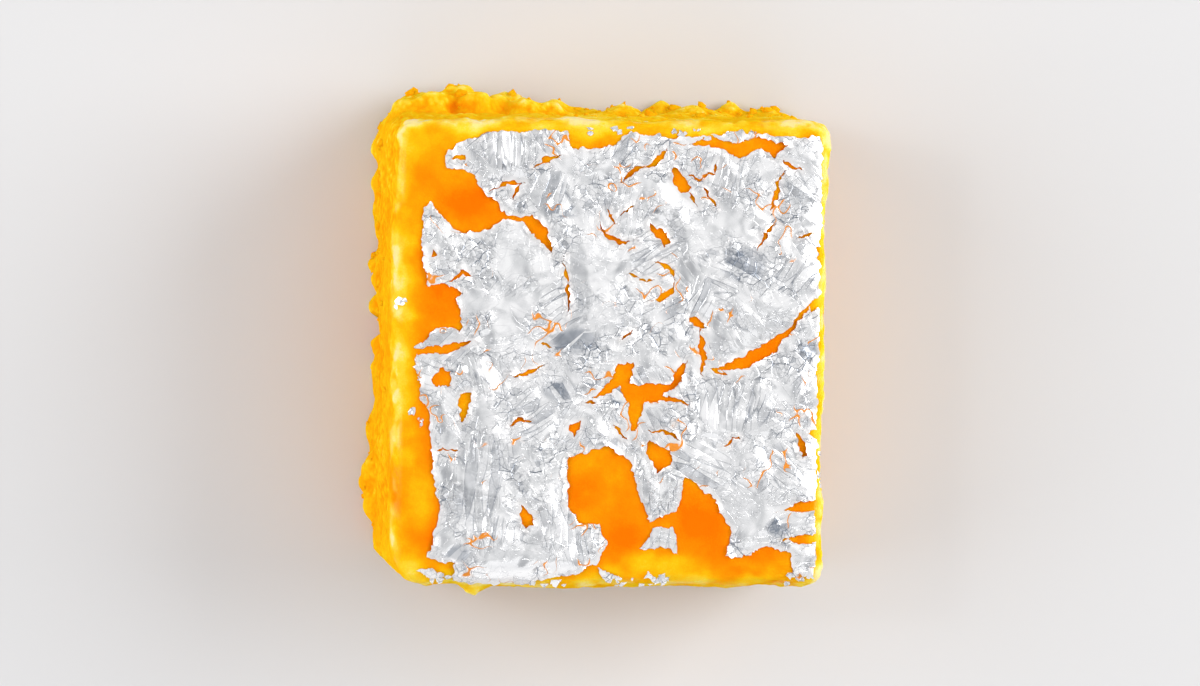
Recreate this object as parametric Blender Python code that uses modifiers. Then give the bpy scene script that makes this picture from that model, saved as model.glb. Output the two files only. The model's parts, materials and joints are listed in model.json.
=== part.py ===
# A square piece of barfi: a soft cut block of milk fudge with a torn silver leaf on its top.
# Metres, +Z up. The block lies on its flat base, its front towards -Y.
import math
import random

import bmesh
import bpy
from mathutils import Vector, noise
from mathutils.bvhtree import BVHTree

MM = 0.001

# The cut block, without its crumbs
WIDTH = 39.0 * MM
DEPTH = 42.0 * MM
BLOCK_HEIGHT = 20.4 * MM

# How far each edge is worn round
ROUNDING = {
    "left top": 1.9 * MM,
    "right top": 1.0 * MM,
    "front top": 2.2 * MM,
    "back top": 1.4 * MM,
    "front left": 3.4 * MM,
    "front right": 1.3 * MM,
    "back left": 1.7 * MM,
    "back right": 1.5 * MM,
}
MOST_ROUNDING = max(ROUNDING.values())
ROUNDING_STEPS = 5

# Relief of the block: how deep, and how far from bump to bump
TOP_SWELL = (0.32 * MM, 9.0 * MM)
TOP_DIMPLE = (0.10 * MM, 3.2 * MM)
SIDE_SWELL = (0.40 * MM, 11.0 * MM)
SIDE_CRAG = (0.30 * MM, 3.4 * MM)
SIDE_GRANULE = (0.34 * MM, 2.1 * MM)
FOOT_BITE = (2.1 * MM, 6.5 * MM)
FOOT_HEIGHT = 5.0 * MM
SPARE_FOOT = 0.8 * MM

# How much of the foot is bitten away, from about -0.5 for none to 0.5 for all of it
BITE_SHARE = 0.05

# Crumbs stuck along the foot of all four sides. The spreads are shares of a step and of a radius.
CRUMB_STEP = 2.3 * MM
CRUMB_STEP_SPREAD = (0.5, 1.5)
CRUMB_RADIUS = (0.45 * MM, 1.15 * MM)
CRUMB_SHAPE_SPREAD = (0.75, 1.3)
CRUMB_RISE = 3.2 * MM
CRUMB_DRAW = 7
CRUMB_SEEDS = (20, 60)

# How lumpy each crumb is: the height and spacing of its bumps, as shares of its radius
CRUMB_BUMP = (0.30, 0.9)

# Crumbs and broken lumps that stand out, in millimetres: x, y, z and half sizes along X, Y and Z
LUMPS = {
    "left side": [
        (-19.7, -11.4, 4.6, 1.2, 1.3, 1.3),
        (-20.0, -13.0, 3.4, 1.3, 1.2, 1.1),
        (-19.8, -14.8, 4.9, 1.1, 1.4, 1.0),
        (-19.6, -12.6, 1.3, 1.2, 1.5, 1.3),
    ],
    "back": [
        (-17.4, 21.1, 7.2, 1.6, 1.5, 1.6),
        (-15.2, 21.8, 8.0, 1.5, 1.5, 1.4),
        (-13.1, 22.0, 6.4, 1.4, 1.6, 1.8),
        (-11.0, 21.9, 8.8, 1.5, 1.4, 1.2),
        (-9.2, 21.6, 6.9, 1.2, 1.5, 1.5),
        (-6.9, 21.3, 8.3, 1.5, 1.3, 1.4),
        (-4.3, 21.2, 7.4, 1.2, 1.2, 1.2),
        (-16.2, 21.4, 3.0, 2.1, 1.6, 2.3),
        (-12.0, 21.8, 2.4, 1.9, 1.9, 2.0),
        (-7.9, 21.4, 3.0, 1.8, 1.5, 1.9),
        (-3.4, 21.0, 2.3, 1.6, 1.3, 1.5),
        (2.6, 20.9, 4.2, 1.5, 1.1, 1.3),
        (9.4, 20.9, 2.1, 1.8, 1.3, 1.6),
    ],
    "front": [
        (-11.8, -21.1, 17.6, 0.95, 1.0, 0.95),
        (-13.9, -20.9, 4.4, 1.5, 1.1, 1.3),
        (-2.2, -21.0, 2.0, 1.9, 1.3, 1.6),
        (6.1, -20.9, 5.7, 1.1, 0.9, 1.0),
        (13.6, -21.0, 2.3, 1.7, 1.2, 1.5),
    ],
    "right side": [
        (19.4, 12.8, 2.4, 1.2, 1.8, 1.6),
        (19.4, 3.2, 5.1, 0.9, 1.2, 1.1),
        (19.5, -7.4, 2.0, 1.2, 1.6, 1.4),
        (19.3, -15.2, 6.3, 0.9, 1.1, 1.0),
    ],
}

# Mesh sizes
BLOCK_VOXEL = 0.6 * MM
BLOCK_TRIANGLES = 8700
LEAF_COLUMNS = 22
LEAF_ROWS = 24
LEAF_CROWDING = 0.76
TEAR_STEP = 1.5 * MM
BEND_STEPS = 3
SPOT_SIDES = 8

# The silver leaf: a thin wavy sheet that lies just clear of the block
LEAF_THICKNESS = 0.22 * MM
LEAF_GAP = 0.28 * MM
LEAF_WAVE = (0.16 * MM, 4.2 * MM)
LEAF_JAG = (0.30 * MM, 0.9 * MM)
LEAF_DROOP = 1.6 * MM
TOP_RING = 0.22 * MM
CUTTER_HEIGHT = 12.0 * MM
CUTTER_BOTTOM = BLOCK_HEIGHT - CUTTER_HEIGHT / 2
CAP_WELD = 0.005 * MM

# How far a bare spot's rim strays, as a share of its size, and the turn from one stray to the next
SPOT_STRAY = (0.25, 2.2)

# How pointed a tear's two ends are, from 0 for square to 1 for a lens
TEAR_POINT = 0.7

# The torn outlines, in millimetres from the middle of the top, counterclockwise
LEAF_OUTLINE = [
    (-13.8, -20.6), (-12.0, -20.7), (-7.3, -20.7), (-3.0, -19.8), (-0.9, -18.6), (0.0, -17.0),
    (-0.9, -15.3), (-2.7, -15.0), (-3.6, -13.5), (-3.8, -9.2), (-0.2, -8.2), (1.8, -9.4),
    (2.5, -12.1), (3.7, -14.9), (6.2, -14.0), (6.8, -10.6), (9.2, -12.4), (11.2, -15.7),
    (10.6, -18.1), (12.9, -18.1), (14.2, -17.1), (16.5, -17.6), (16.9, -19.8), (18.8, -20.0),
    (18.8, 19.7), (11.1, 20.1), (6.8, 19.5), (2.7, 19.8), (1.3, 20.0), (-0.3, 18.5),
    (-3.9, 18.6), (-4.1, 20.1), (-11.1, 19.9), (-13.8, 19.1), (-15.2, 17.6), (-15.1, 16.6),
    (-17.1, 12.6), (-17.2, 8.3), (-15.8, 2.4), (-17.4, 0.6), (-17.7, -1.6), (-16.2, -5.7),
    (-16.1, -9.3), (-15.2, -13.7), (-16.3, -18.5), (-13.9, -18.7),
]
BARE_OUTLINES = {
    "corner bay": [
        (-19.1, 16.6), (-16.5, 13.4), (-13.8, 11.0), (-11.7, 11.1), (-9.5, 12.0), (-8.1, 11.9),
        (-6.6, 10.2), (-5.4, 9.1), (-6.1, 11.3), (-7.4, 12.7), (-9.4, 12.5), (-10.8, 14.0),
        (-12.0, 14.9), (-12.6, 16.2), (-15.1, 16.6),
    ],
    "side bay": [
        (-18.6, 2.9), (-13.7, 1.9), (-13.2, 2.6), (-13.9, 4.6), (-13.3, 5.4), (-14.9, 6.6), (-18.6, 5.2),
    ],
    "back bay": [
        (6.8, 18.9), (9.6, 18.7), (11.2, 17.8), (13.2, 18.6), (14.5, 17.9), (15.7, 19.0),
        (13.2, 19.8), (11.1, 19.2), (8.6, 19.7),
    ],
    "central bay": [
        (-1.4, -3.9), (0.7, -3.0), (1.7, -4.3), (1.9, -6.7), (2.7, -6.5), (2.9, -4.3), (4.7, -4.0),
        (4.9, -3.4), (5.9, -2.4), (4.2, -2.7), (1.7, -2.5), (2.2, -1.1), (1.9, -0.5), (0.6, -0.9),
        (0.0, -2.5),
    ],
}
LEAF_SCRAPS = {
    "leaf_scrap_prong": [(3.0, -17.4), (5.3, -17.1), (6.3, -17.7), (6.3, -16.0), (5.7, -15.6), (4.1, -15.8)],
    "leaf_scrap_front": [(-0.9, -19.1), (-0.5, -20.1), (0.4, -20.5), (0.8, -19.8)],
    "leaf_scrap_corner": [(-17.2, -19.5), (-16.3, -20.1), (-14.8, -20.4), (-14.5, -19.9), (-16.3, -19.3)],
}

# Bare spots, in millimetres: x, y, length and width, and the heading of the length in degrees
BARE_SPOTS = {
    "tip": (-14.0, 17.6, 1.6, 0.6, 8),
    "upper right": (6.0, 15.7, 2.5, 1.2, -60),
    "long": (4.3, 10.7, 2.7, 1.1, -52),
    "diamond": (7.6, 3.0, 1.6, 0.9, -30),
    "frill": (-15.1, -2.1, 2.1, 1.7, 0),
    "triangle": (-13.2, -4.5, 2.5, 1.1, 85),
    "low left": (-7.4, -14.7, 2.1, 1.1, -70),
    "low middle": (-3.1, -6.6, 1.6, 0.9, 60),
    "round": (4.4, -9.1, 2.9, 2.0, -60),
    "right slit": (17.4, -8.1, 2.3, 0.6, -70),
    "right edge upper": (19.1, 9.2, 1.4, 1.3, 90),
    "right edge middle": (18.9, 5.0, 2.3, 1.4, 45),
    "right edge lower": (19.0, -3.2, 4.6, 0.8, 90),
    "right edge corner": (18.8, -6.9, 1.6, 0.9, 0),
    "front edge": (-6.4, -21.0, 2.2, 1.3, 0),
}

# Tears, in millimetres: start x and y, end x and y, sideways bow, and width at the widest
TEARS = {
    "left band": (-18.4, 0.1, -12.2, 1.2, -0.3, 0.9),
    "tip slit": (-7.4, 16.7, -4.4, 17.8, 0.3, 0.5),
    "corner slit": (-11.4, 14.6, -8.0, 15.6, 0.1, 0.45),
    "back crack": (0.5, 15.5, 2.9, 17.1, 0.2, 0.5),
    "back crack end": (2.6, 16.8, 5.0, 18.6, -0.3, 0.6),
    "middle seam": (-4.4, 8.8, -3.9, 3.5, 0.1, 0.4),
    "loop": (-1.5, 12.2, 2.4, 10.2, -1.0, 0.4),
    "ring upper": (3.7, 8.5, 5.9, 6.5, 0.4, 0.45),
    "ring lower": (5.9, 6.8, 3.3, 4.8, 0.5, 0.6),
    "right crack": (15.7, 17.1, 14.3, 12.7, -0.3, 0.5),
    "right crack end": (14.9, 12.1, 12.9, 9.4, -0.2, 0.45),
    "curve": (16.9, 3.2, 9.0, -1.3, 1.0, 1.35),
    "curve tail": (18.0, 4.7, 16.1, 2.6, 0.0, 0.5),
    "diamond tail": (8.0, 2.7, 8.4, -2.0, 0.1, 0.6),
    "north east arm": (4.9, -3.3, 7.0, -0.2, -0.2, 0.8),
    "east arm": (4.4, -3.9, 7.1, -4.3, 0.1, 0.5),
    "arch": (3.2, -6.9, 6.5, -7.7, 0.5, 0.4),
    "upper wedge": (15.9, -13.8, 20.4, -13.2, 0.1, 1.1),
    "lower wedge": (15.6, -16.7, 20.4, -16.3, 0.1, 0.8),
}


def clear_scene():
    for obj in list(bpy.data.objects):
        bpy.data.objects.remove(obj, do_unlink=True)


def new_collection(name, parent=None):
    collection = bpy.data.collections.new(name)
    (parent or bpy.context.scene.collection).children.link(collection)
    return collection


def principled(name, colour, roughness, metallic):
    material = bpy.data.materials.new(name)
    material.use_nodes = True
    shader = material.node_tree.nodes["Principled BSDF"]
    shader.inputs["Base Color"].default_value = (*colour, 1.0)
    shader.inputs["Roughness"].default_value = roughness
    shader.inputs["Metallic"].default_value = metallic
    material.diffuse_color = (*colour, 1.0)
    return material


def add_object(name, mesh, collection):
    obj = bpy.data.objects.new(name, mesh)
    collection.objects.link(obj)
    return obj


def as_guide(obj):
    obj.hide_render = True
    obj.display_type = "WIRE"
    return obj


# Replaces an object's mesh by what its modifiers make of it, and takes the modifiers off
def apply_modifiers(obj):
    evaluated = obj.evaluated_get(bpy.context.evaluated_depsgraph_get())
    mesh = bpy.data.meshes.new_from_object(evaluated)
    obj.modifiers.clear()
    obj.data = mesh


def add_boolean(obj, operation, operand, solver="EXACT"):
    modifier = obj.modifiers.new(operation.title(), "BOOLEAN")
    modifier.operation = operation
    modifier.solver = solver
    if isinstance(operand, bpy.types.Collection):
        modifier.operand_type = "COLLECTION"
        modifier.collection = operand
    else:
        modifier.object = operand
    return modifier


def add_remesh(obj):
    remesh = obj.modifiers.new("Even mesh", "REMESH")
    remesh.mode = "VOXEL"
    remesh.voxel_size = BLOCK_VOXEL


def remove_with_objects(collection):
    for obj in list(collection.objects):
        bpy.data.objects.remove(obj, do_unlink=True)
    bpy.data.collections.remove(collection)


# Drops every loose scrap and sealed hollow, so that the largest body is left alone
def keep_largest_body(obj):
    bm = bmesh.new()
    bm.from_mesh(obj.data)
    unseen = set(bm.verts)
    bodies = []
    while unseen:
        waiting = [unseen.pop()]
        body = []
        while waiting:
            vert = waiting.pop()
            body.append(vert)
            for edge in vert.link_edges:
                other = edge.other_vert(vert)
                if other in unseen:
                    unseen.remove(other)
                    waiting.append(other)
        bodies.append(body)
    bodies.sort(key=len)
    for body in bodies[:-1]:
        bmesh.ops.delete(bm, geom=body, context="VERTS")
    bm.to_mesh(obj.data)
    bm.free()


# Smooth noise from about -1 to 1, with bumps about as far apart as the spacing
def bumps(point, spacing, seed):
    return noise.noise(Vector(point) / spacing + Vector((seed, 1.7 * seed, 2.3 * seed)))


# Round granules: near 0.5 in the middle of each, and below 0 in the grooves between them
def granules(point, spacing, seed):
    distances, _ = noise.voronoi(Vector(point) / spacing + Vector((seed, seed, seed)))
    return 0.5 - distances[0]


# The radius of the box edge that lies between two named sides
def edge_rounding(edge):
    middle = (edge.verts[0].co + edge.verts[1].co) / 2
    names = []
    if abs(middle.y) > DEPTH / 4:
        names.append("front" if middle.y < 0 else "back")
    if abs(middle.x) > WIDTH / 4:
        names.append("left" if middle.x < 0 else "right")
    if abs(middle.z) > BLOCK_HEIGHT / 4:
        names.append("top" if middle.z > 0 else "foot")
    return ROUNDING.get(" ".join(names), 0.0)


def make_soft_box(name, collection):
    bm = bmesh.new()
    bmesh.ops.create_cube(bm, size=1.0)
    height = BLOCK_HEIGHT + SPARE_FOOT
    bmesh.ops.scale(bm, vec=(WIDTH, DEPTH, height), verts=bm.verts)
    weight = bm.edges.layers.float.new("bevel_weight_edge")
    for edge in bm.edges:
        edge[weight] = edge_rounding(edge) / MOST_ROUNDING
    bmesh.ops.translate(bm, vec=(0, 0, BLOCK_HEIGHT - height / 2), verts=bm.verts)
    mesh = bpy.data.meshes.new(name)
    bm.to_mesh(mesh)
    bm.free()
    box = add_object(name, mesh, collection)
    bevel = box.modifiers.new("Worn edges", "BEVEL")
    bevel.limit_method = "WEIGHT"
    bevel.width = MOST_ROUNDING
    bevel.segments = ROUNDING_STEPS
    add_remesh(box)
    apply_modifiers(box)
    return box


def top_relief(point):
    swell, swell_spacing = TOP_SWELL
    dimple, dimple_spacing = TOP_DIMPLE
    return swell * bumps(point, swell_spacing, 3) + dimple * bumps(point, dimple_spacing, 5)


def side_relief(point):
    swell, swell_spacing = SIDE_SWELL
    crag, crag_spacing = SIDE_CRAG
    granule, granule_spacing = SIDE_GRANULE
    bite, bite_spacing = FOOT_BITE
    height = swell * bumps(point, swell_spacing, 11)
    height += crag * bumps(point, crag_spacing, 13)
    height += granule * granules(point, granule_spacing, 17)
    lowness = max(0.0, 1 - max(point.z, 0.0) / FOOT_HEIGHT)
    height -= bite * lowness * max(0.0, bumps(point, bite_spacing, 19) + BITE_SHARE)
    return height


# Moves each point out or in by the relief of the face that it lies on
def roughen(obj):
    points = obj.data.vertices
    normals = [vertex.normal.copy() for vertex in points]
    for vertex, normal in zip(points, normals):
        upness = min(1.0, max(0.0, normal.z))
        downness = min(1.0, max(0.0, -normal.z))
        sideness = 1 - upness - downness
        height = upness * top_relief(vertex.co) + max(0.0, sideness) * side_relief(vertex.co)
        vertex.co += normal * height


# One crumb: a small ball, squashed and made lumpy
def make_crumb(name, centre, half_sizes, seed, collection):
    bump, spacing = CRUMB_BUMP
    bm = bmesh.new()
    bmesh.ops.create_icosphere(bm, subdivisions=2, radius=1.0)
    for vert in bm.verts:
        vert.co *= 1 + bump * bumps(vert.co, spacing, seed)
    bmesh.ops.scale(bm, vec=half_sizes, verts=bm.verts)
    bmesh.ops.translate(bm, vec=centre, verts=bm.verts)
    mesh = bpy.data.meshes.new(name)
    bm.to_mesh(mesh)
    bm.free()
    return as_guide(add_object(name, mesh, collection))


def make_lumps(collection):
    seed = 0
    for side, lumps in LUMPS.items():
        for x, y, z, across, along, up in lumps:
            seed += 1
            centre = Vector((x, y, z)) * MM
            half_sizes = Vector((across, along, up)) * MM
            make_crumb(f"{side} lump {seed}", centre, half_sizes, seed, collection)


# Small crumbs along the foot, at uneven steps round the four sides
def make_foot_crumbs(collection):
    draw = random.Random(CRUMB_DRAW)
    sides = (
        (Vector((0, -DEPTH / 2, 0)), Vector((1, 0, 0)), WIDTH),
        (Vector((WIDTH / 2, 0, 0)), Vector((0, 1, 0)), DEPTH),
        (Vector((0, DEPTH / 2, 0)), Vector((-1, 0, 0)), WIDTH),
        (Vector((-WIDTH / 2, 0, 0)), Vector((0, -1, 0)), DEPTH),
    )
    for number, (middle, along, length) in enumerate(sides):
        reach = length / 2 - MOST_ROUNDING
        place = -reach
        while place < reach:
            radius = draw.uniform(*CRUMB_RADIUS)
            height = CRUMB_RISE * draw.random() ** 2
            centre = middle + along * place + Vector((0, 0, height))
            half_sizes = Vector([radius * draw.uniform(*CRUMB_SHAPE_SPREAD) for _ in range(3)])
            name = f"foot crumb {number} {place / MM:.1f}"
            make_crumb(name, centre, half_sizes, draw.uniform(*CRUMB_SEEDS), collection)
            place += CRUMB_STEP * draw.uniform(*CRUMB_STEP_SPREAD)


# A box that takes away everything below the base
def make_floor_cutter(collection):
    bm = bmesh.new()
    bmesh.ops.create_cube(bm, size=1.0)
    bmesh.ops.scale(bm, vec=(3 * WIDTH, 3 * DEPTH, BLOCK_HEIGHT), verts=bm.verts)
    bmesh.ops.translate(bm, vec=(0, 0, -BLOCK_HEIGHT / 2), verts=bm.verts)
    mesh = bpy.data.meshes.new("floor cutter")
    bm.to_mesh(mesh)
    bm.free()
    return as_guide(add_object("floor cutter", mesh, collection))


def make_block(collection, cutters):
    block = make_soft_box("barfi_block", collection)
    roughen(block)
    crumbs = new_collection("crumbs")
    make_lumps(crumbs)
    make_foot_crumbs(crumbs)
    # Crumbs that only graze the rough side leave slivers, which the even mesh then takes away
    add_boolean(block, "UNION", crumbs, "MANIFOLD")
    apply_modifiers(block)
    remove_with_objects(crumbs)
    keep_largest_body(block)
    add_remesh(block)
    apply_modifiers(block)
    thin = block.modifiers.new("Fewer faces", "DECIMATE")
    block.data.calc_loop_triangles()
    thin.ratio = BLOCK_TRIANGLES / len(block.data.loop_triangles)
    thin.use_collapse_triangulate = True
    add_boolean(block, "DIFFERENCE", make_floor_cutter(cutters), "MANIFOLD")
    apply_modifiers(block)
    keep_largest_body(block)
    return block


# An outline through a few corners, broken into short steps that stray like torn foil
def torn_edge(corners, seed):
    jag, spacing = LEAF_JAG
    points = []
    for start, end in zip(corners, corners[1:] + corners[:1]):
        start = Vector(start) * MM
        end = Vector(end) * MM
        steps = max(1, round((end - start).length / TEAR_STEP))
        for step in range(steps):
            point = start.lerp(end, step / steps).to_3d()
            stray_x = jag * bumps(point, spacing, seed)
            stray_y = jag * bumps(point, spacing, seed + 0.4)
            points.append((point.x + stray_x, point.y + stray_y))
    return points


def spot_outline(x, y, length, width, heading):
    stray_share, stray_turn = SPOT_STRAY
    turn = math.radians(heading)
    along = Vector((math.cos(turn), math.sin(turn)))
    across = Vector((-along.y, along.x))
    points = []
    for number in range(SPOT_SIDES):
        angle = 2 * math.pi * number / SPOT_SIDES
        stray = 1 + stray_share * math.sin(stray_turn * number + x)
        point = along * (length / 2 * math.cos(angle)) + across * (width / 2 * math.sin(angle))
        points.append(((x + point.x * stray) * MM, (y + point.y * stray) * MM))
    return points


# A bowed blade that comes to a point at both ends
def tear_outline(start_x, start_y, end_x, end_y, bow, width):
    start = Vector((start_x, start_y))
    run = Vector((end_x, end_y)) - start
    across = Vector((-run.y, run.x)).normalized()
    shares = [number / BEND_STEPS for number in range(BEND_STEPS + 1)]
    sides = []
    for side in (-0.5, 0.5):
        line = []
        for share in shares:
            swell = math.sin(math.pi * share)
            offset = bow * swell + side * width * swell ** TEAR_POINT
            line.append((start + run * share + across * offset) * MM)
        sides.append(line)
    there, back = sides
    return [tuple(point) for point in there + back[-2:0:-1]]


# A prism that stands on a flat outline, from a filled curve
def make_prism(name, outline, collection):
    curve = bpy.data.curves.new(name, "CURVE")
    curve.dimensions = "2D"
    curve.fill_mode = "BOTH"
    curve.extrude = CUTTER_HEIGHT / 2
    spline = curve.splines.new("POLY")
    spline.points.add(len(outline) - 1)
    for point, (x, y) in zip(spline.points, outline):
        point.co = (x, y, 0, 1)
    spline.use_cyclic_u = True
    drawn = add_object(name + " outline", curve, collection)
    drawn.location.z = CUTTER_BOTTOM + CUTTER_HEIGHT / 2
    bpy.context.view_layer.update()
    graph = bpy.context.evaluated_depsgraph_get()
    mesh = bpy.data.meshes.new_from_object(drawn.evaluated_get(graph))
    bm = bmesh.new()
    bm.from_mesh(mesh)
    bmesh.ops.remove_doubles(bm, verts=bm.verts, dist=CAP_WELD)
    bmesh.ops.recalc_face_normals(bm, faces=bm.faces)
    bm.to_mesh(mesh)
    bm.free()
    prism = as_guide(add_object(name, mesh, collection))
    prism.matrix_world = drawn.matrix_world.copy()
    bpy.data.objects.remove(drawn, do_unlink=True)
    return prism


# The height of the block's top at a place, the highest within a small ring round it
def height_above(block_tree, x, y):
    ring = ((0, 0), (TOP_RING, 0), (-TOP_RING, 0), (0, TOP_RING), (0, -TOP_RING))
    heights = [BLOCK_HEIGHT - LEAF_DROOP]
    for step_x, step_y in ring:
        start = Vector((x + step_x, y + step_y, 1))
        hit, _, _, _ = block_tree.ray_cast(start, Vector((0, 0, -1)))
        if hit:
            heights.append(hit.z)
    return max(heights)


# Places a row of evenly spaced numbers from -0.5 to 0.5 closer together towards both ends
def crowd_ends(share):
    return math.sin(math.pi * LEAF_CROWDING * share) / math.sin(math.pi * LEAF_CROWDING / 2) / 2


# The whole sheet before it is torn: both faces are split into the same triangles
def make_sheet(name, block_tree, collection):
    bm = bmesh.new()
    bmesh.ops.create_grid(bm, x_segments=LEAF_COLUMNS, y_segments=LEAF_ROWS, size=0.5)
    bmesh.ops.triangulate(bm, faces=bm.faces)
    wave, spacing = LEAF_WAVE
    for vert in bm.verts:
        vert.co.x = WIDTH * crowd_ends(vert.co.x)
        vert.co.y = DEPTH * crowd_ends(vert.co.y)
        lift = wave * (0.5 + 0.5 * bumps(vert.co, spacing, 31))
        vert.co.z = height_above(block_tree, vert.co.x, vert.co.y) + LEAF_GAP + lift
    mesh = bpy.data.meshes.new(name)
    bm.to_mesh(mesh)
    bm.free()
    sheet = add_object(name, mesh, collection)
    solidify = sheet.modifiers.new("Thickness", "SOLIDIFY")
    solidify.thickness = LEAF_THICKNESS
    solidify.offset = 1
    solidify.use_even_offset = False
    return sheet


def make_leaf_piece(name, outline, seed, block_tree, collection, cutters):
    piece = make_sheet(name, block_tree, collection)
    prism = make_prism(name + " cutter", torn_edge(outline, seed), cutters)
    add_boolean(piece, "INTERSECT", prism)
    apply_modifiers(piece)
    return piece


# Everything that is missing from the main sheet
def make_bare_cutters(cutters):
    for number, (name, corners) in enumerate(BARE_OUTLINES.items()):
        make_prism(name, torn_edge(corners, 41 + number), cutters)
    for name, spot in BARE_SPOTS.items():
        make_prism(name + " spot", spot_outline(*spot), cutters)
    for name, tear in TEARS.items():
        make_prism(name + " tear", tear_outline(*tear), cutters)


def make_leaf(block, collection, cutters):
    tree = BVHTree.FromObject(block, bpy.context.evaluated_depsgraph_get())
    leaf = make_leaf_piece("silver_leaf", LEAF_OUTLINE, 37, tree, collection, cutters)
    bare = new_collection("bare places", cutters)
    make_bare_cutters(bare)
    add_boolean(leaf, "DIFFERENCE", bare)
    apply_modifiers(leaf)
    keep_largest_body(leaf)
    pieces = [leaf]
    for number, (name, corners) in enumerate(LEAF_SCRAPS.items()):
        pieces.append(make_leaf_piece(name, corners, 53 + number, tree, collection, cutters))
        keep_largest_body(pieces[-1])
    return pieces


# Moves every piece so that the origin is under the middle of the whole, on its base
def centre_on_origin(pieces):
    corners = [vertex.co for piece in pieces for vertex in piece.data.vertices]
    middle_x = (min(co.x for co in corners) + max(co.x for co in corners)) / 2
    middle_y = (min(co.y for co in corners) + max(co.y for co in corners)) / 2
    for piece in pieces:
        for vertex in piece.data.vertices:
            vertex.co.x -= middle_x
            vertex.co.y -= middle_y


def main():
    clear_scene()
    barfi = new_collection("barfi")
    cutters = new_collection("cutters")
    fudge = principled("saffron milk fudge", (0.93, 0.43, 0.02), 0.45, 0.0)
    silver = principled("silver leaf", (0.86, 0.86, 0.87), 0.28, 1.0)
    block = make_block(barfi, cutters)
    block.data.materials.clear()
    block.data.materials.append(fudge)
    leaves = make_leaf(block, barfi, cutters)
    for leaf in leaves:
        leaf.data.materials.clear()
        leaf.data.materials.append(silver)
    centre_on_origin([block] + leaves)


main()
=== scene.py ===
import json
import math
import random

import bmesh
import bpy
from mathutils import Matrix, Vector, noise
from mathutils.bvhtree import BVHTree
from mathutils.kdtree import KDTree

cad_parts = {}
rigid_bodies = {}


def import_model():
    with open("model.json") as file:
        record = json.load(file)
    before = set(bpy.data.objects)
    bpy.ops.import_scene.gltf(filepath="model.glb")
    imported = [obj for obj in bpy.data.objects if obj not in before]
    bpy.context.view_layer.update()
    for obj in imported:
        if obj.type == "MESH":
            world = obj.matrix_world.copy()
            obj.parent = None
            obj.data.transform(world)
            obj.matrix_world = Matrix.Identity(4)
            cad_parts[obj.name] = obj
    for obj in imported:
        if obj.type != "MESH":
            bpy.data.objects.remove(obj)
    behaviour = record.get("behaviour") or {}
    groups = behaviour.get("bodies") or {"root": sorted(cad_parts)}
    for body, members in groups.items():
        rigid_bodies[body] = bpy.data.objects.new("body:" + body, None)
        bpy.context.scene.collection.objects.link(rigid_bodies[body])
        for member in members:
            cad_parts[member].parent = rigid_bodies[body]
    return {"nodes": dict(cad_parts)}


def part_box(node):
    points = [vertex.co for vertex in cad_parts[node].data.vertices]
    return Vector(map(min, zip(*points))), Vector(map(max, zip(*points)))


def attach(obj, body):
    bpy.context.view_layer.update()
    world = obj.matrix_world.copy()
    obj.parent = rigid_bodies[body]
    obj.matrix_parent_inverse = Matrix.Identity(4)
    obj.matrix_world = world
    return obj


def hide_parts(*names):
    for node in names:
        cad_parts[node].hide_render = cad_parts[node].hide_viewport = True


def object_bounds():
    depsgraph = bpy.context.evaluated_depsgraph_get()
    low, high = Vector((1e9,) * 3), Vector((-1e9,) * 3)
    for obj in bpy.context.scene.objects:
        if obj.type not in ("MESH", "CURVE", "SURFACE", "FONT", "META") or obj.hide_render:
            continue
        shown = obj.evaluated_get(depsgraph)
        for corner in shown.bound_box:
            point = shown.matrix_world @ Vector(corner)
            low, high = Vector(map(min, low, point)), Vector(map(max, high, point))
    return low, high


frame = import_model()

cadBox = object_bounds()
mm = 0.001

# The prong scrap lies at a known place on the cut top, so its box tells where the top's middle is
prongCorner = Vector((2.971, -17.880)) * mm
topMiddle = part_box("leaf_scrap_prong")[0].to_2d() - prongCorner
topHalf = Vector((19.5, 21.0)) * mm      # half of the cut top's width and depth
aboveFloor = 0.01 * mm                   # how far all but the block's base stays off the floor
down = Vector((0, 0, -1))


# Meshes

def mergedCopy(node):
    bm = bmesh.new()
    bm.from_mesh(frame["nodes"][node].data)
    bmesh.ops.remove_doubles(bm, verts=bm.verts, dist=0.001 * mm)
    bm.normal_update()
    return bm


def newObject(name, bm, collection=None):
    mesh = bpy.data.meshes.new(name)
    bm.to_mesh(mesh)
    bm.free()
    made = bpy.data.objects.new(name, mesh)
    (collection or bpy.context.scene.collection).objects.link(made)
    return made


def applyModifiers(made):
    ready = made.evaluated_get(bpy.context.evaluated_depsgraph_get())
    mesh = bpy.data.meshes.new_from_object(ready)
    made.modifiers.clear()
    made.data = mesh


def meshOf(made):
    bm = bmesh.new()
    bm.from_mesh(made.data)
    return bm


def removeObject(made):
    bpy.data.objects.remove(made, do_unlink=True)


def soften(bm, rounds):
    for _ in range(rounds):
        bmesh.ops.smooth_vert(bm, verts=bm.verts, factor=0.5,
                              use_axis_x=True, use_axis_y=True, use_axis_z=True)


# Numbers on the vertices, which the materials read by name
def paintLayers(bm, *names):
    return [bm.verts.layers.float.new(name) for name in names]


def blockBelow(blockTree, x, y):
    hit, _, _, _ = blockTree.ray_cast(Vector((x, y, 1)), down)
    return hit


def islandsOf(bm):
    unseen = set(bm.verts)
    islands = []
    while unseen:
        waiting = [unseen.pop()]
        island = []
        while waiting:
            vert = waiting.pop()
            island.append(vert)
            for edge in vert.link_edges:
                other = edge.other_vert(vert)
                if other in unseen:
                    unseen.remove(other)
                    waiting.append(other)
        islands.append(island)
    return islands


# Noise, with lengths in metres

def bumps(point, spacing, seed=0.0):
    return noise.noise(point / spacing + Vector((seed, 1.7 * seed, 2.3 * seed)))


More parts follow.
